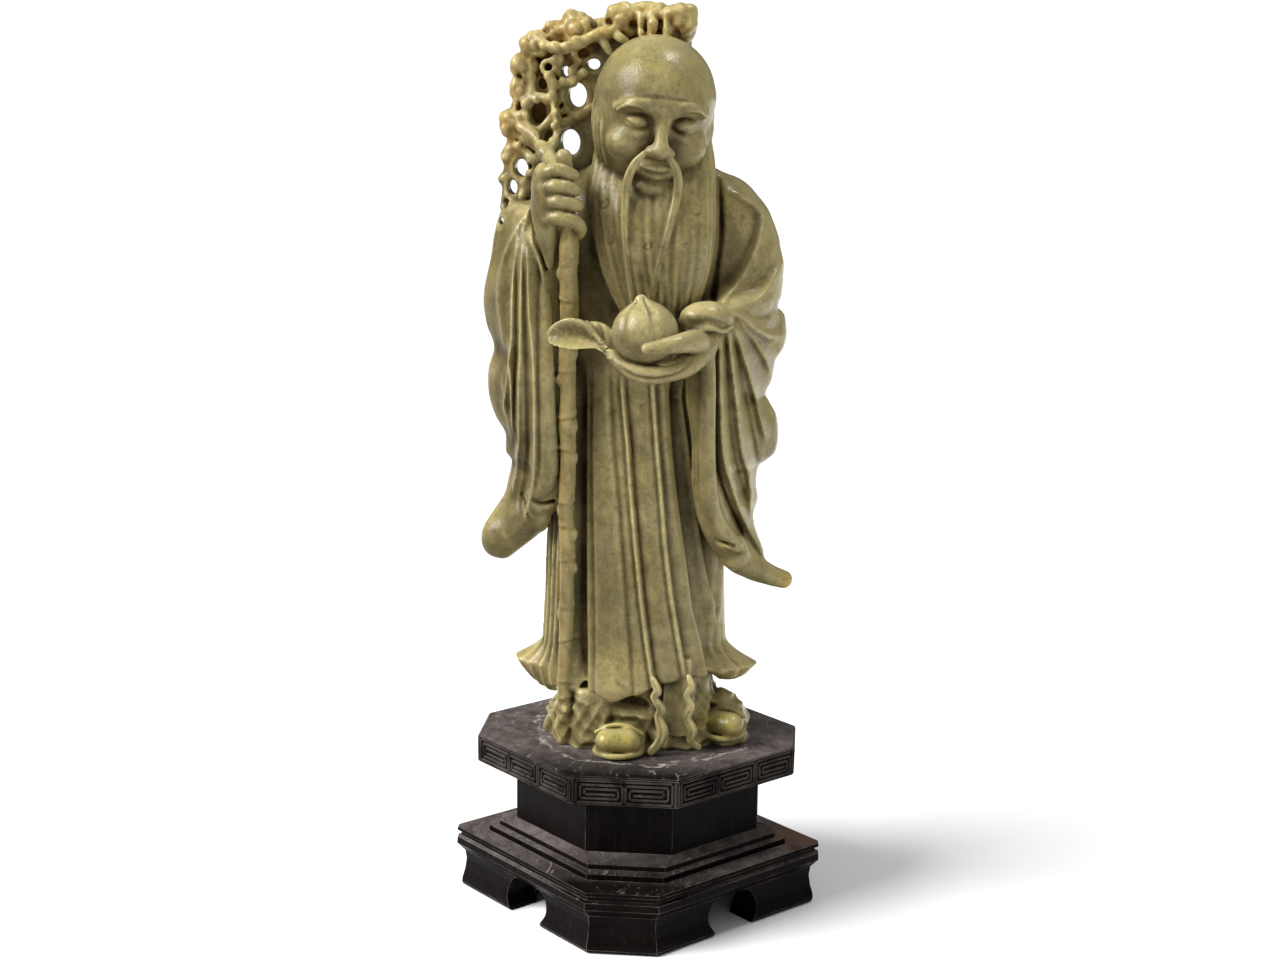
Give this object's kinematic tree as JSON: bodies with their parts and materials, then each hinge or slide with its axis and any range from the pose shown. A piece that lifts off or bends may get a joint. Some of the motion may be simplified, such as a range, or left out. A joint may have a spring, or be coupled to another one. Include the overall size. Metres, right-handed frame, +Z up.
{
  "type": "carved figure of an old sage on a stand",
  "caption": "Carved soapstone figure of a bearded old sage with a pine staff and a peach, on a footed octagonal wooden stand.",
  "frame": {"origin": "on the floor, under the middle of the stand's footprint", "axes": "+Z up; the figure faces -Y; +X is the viewer's right, the figure's left"},
  "size_m": [0.141, 0.117, 0.3387],
  "materials": {
    "stone": "polished soapstone, olive to yellow green",
    "wood": "dark waxed hardwood"
  },
  "bodies": {
    "root": {"figure": "stone", "stand": "wood"}
  },
  "joints": []
}
